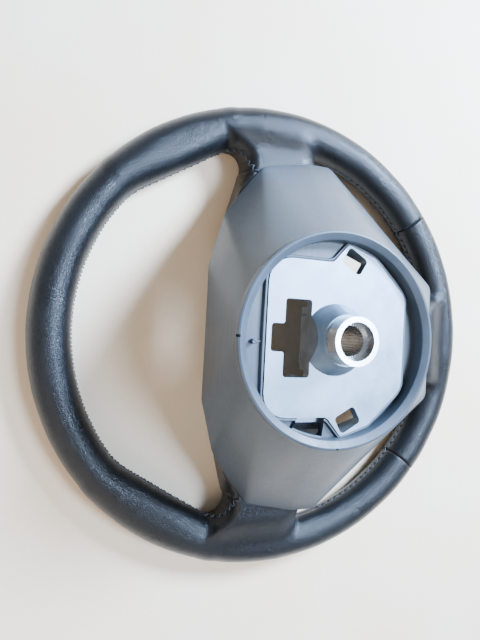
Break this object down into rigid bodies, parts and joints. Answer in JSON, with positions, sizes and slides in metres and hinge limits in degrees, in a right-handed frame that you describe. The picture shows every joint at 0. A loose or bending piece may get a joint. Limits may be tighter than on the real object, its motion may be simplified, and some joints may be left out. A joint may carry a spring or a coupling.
{
  "type": "car steering wheel",
  "caption": "Leather-covered steering wheel with three spokes, a cast hub with a splined steel bush and a moulded rear cover; the centre pad is not fitted.",
  "frame": {"origin": "where the hub axis meets the plane that the front of the rim rests on", "axes": "+Z along the hub axis to the steering column, +Y to twelve o'clock, +X to three o'clock as seen from the column side, which is the driver's left hand"},
  "size_m": [0.375, 0.375, 0.1438],
  "materials": {
    "cast_metal": "bare die casting, fine matte grain",
    "machined_steel": "turned",
    "foam": "moulded integral-skin foam",
    "leather": "black grained leather",
    "thread": "black waxed thread",
    "cover_plastic": "fine moulded grain",
    "screw_steel": "zinc plated"
  },
  "bodies": {
    "root": {"armature": "cast_metal", "splined_bush": "machined_steel", "rim_foam": "foam", "upper_leather": "leather", "lower_leather": "leather", "upper_lacing": "thread", "left_slot_lacing": "thread", "right_slot_lacing": "thread", "rear_cover": "cover_plastic", "cover_screws": "screw_steel"}
  },
  "joints": []
}
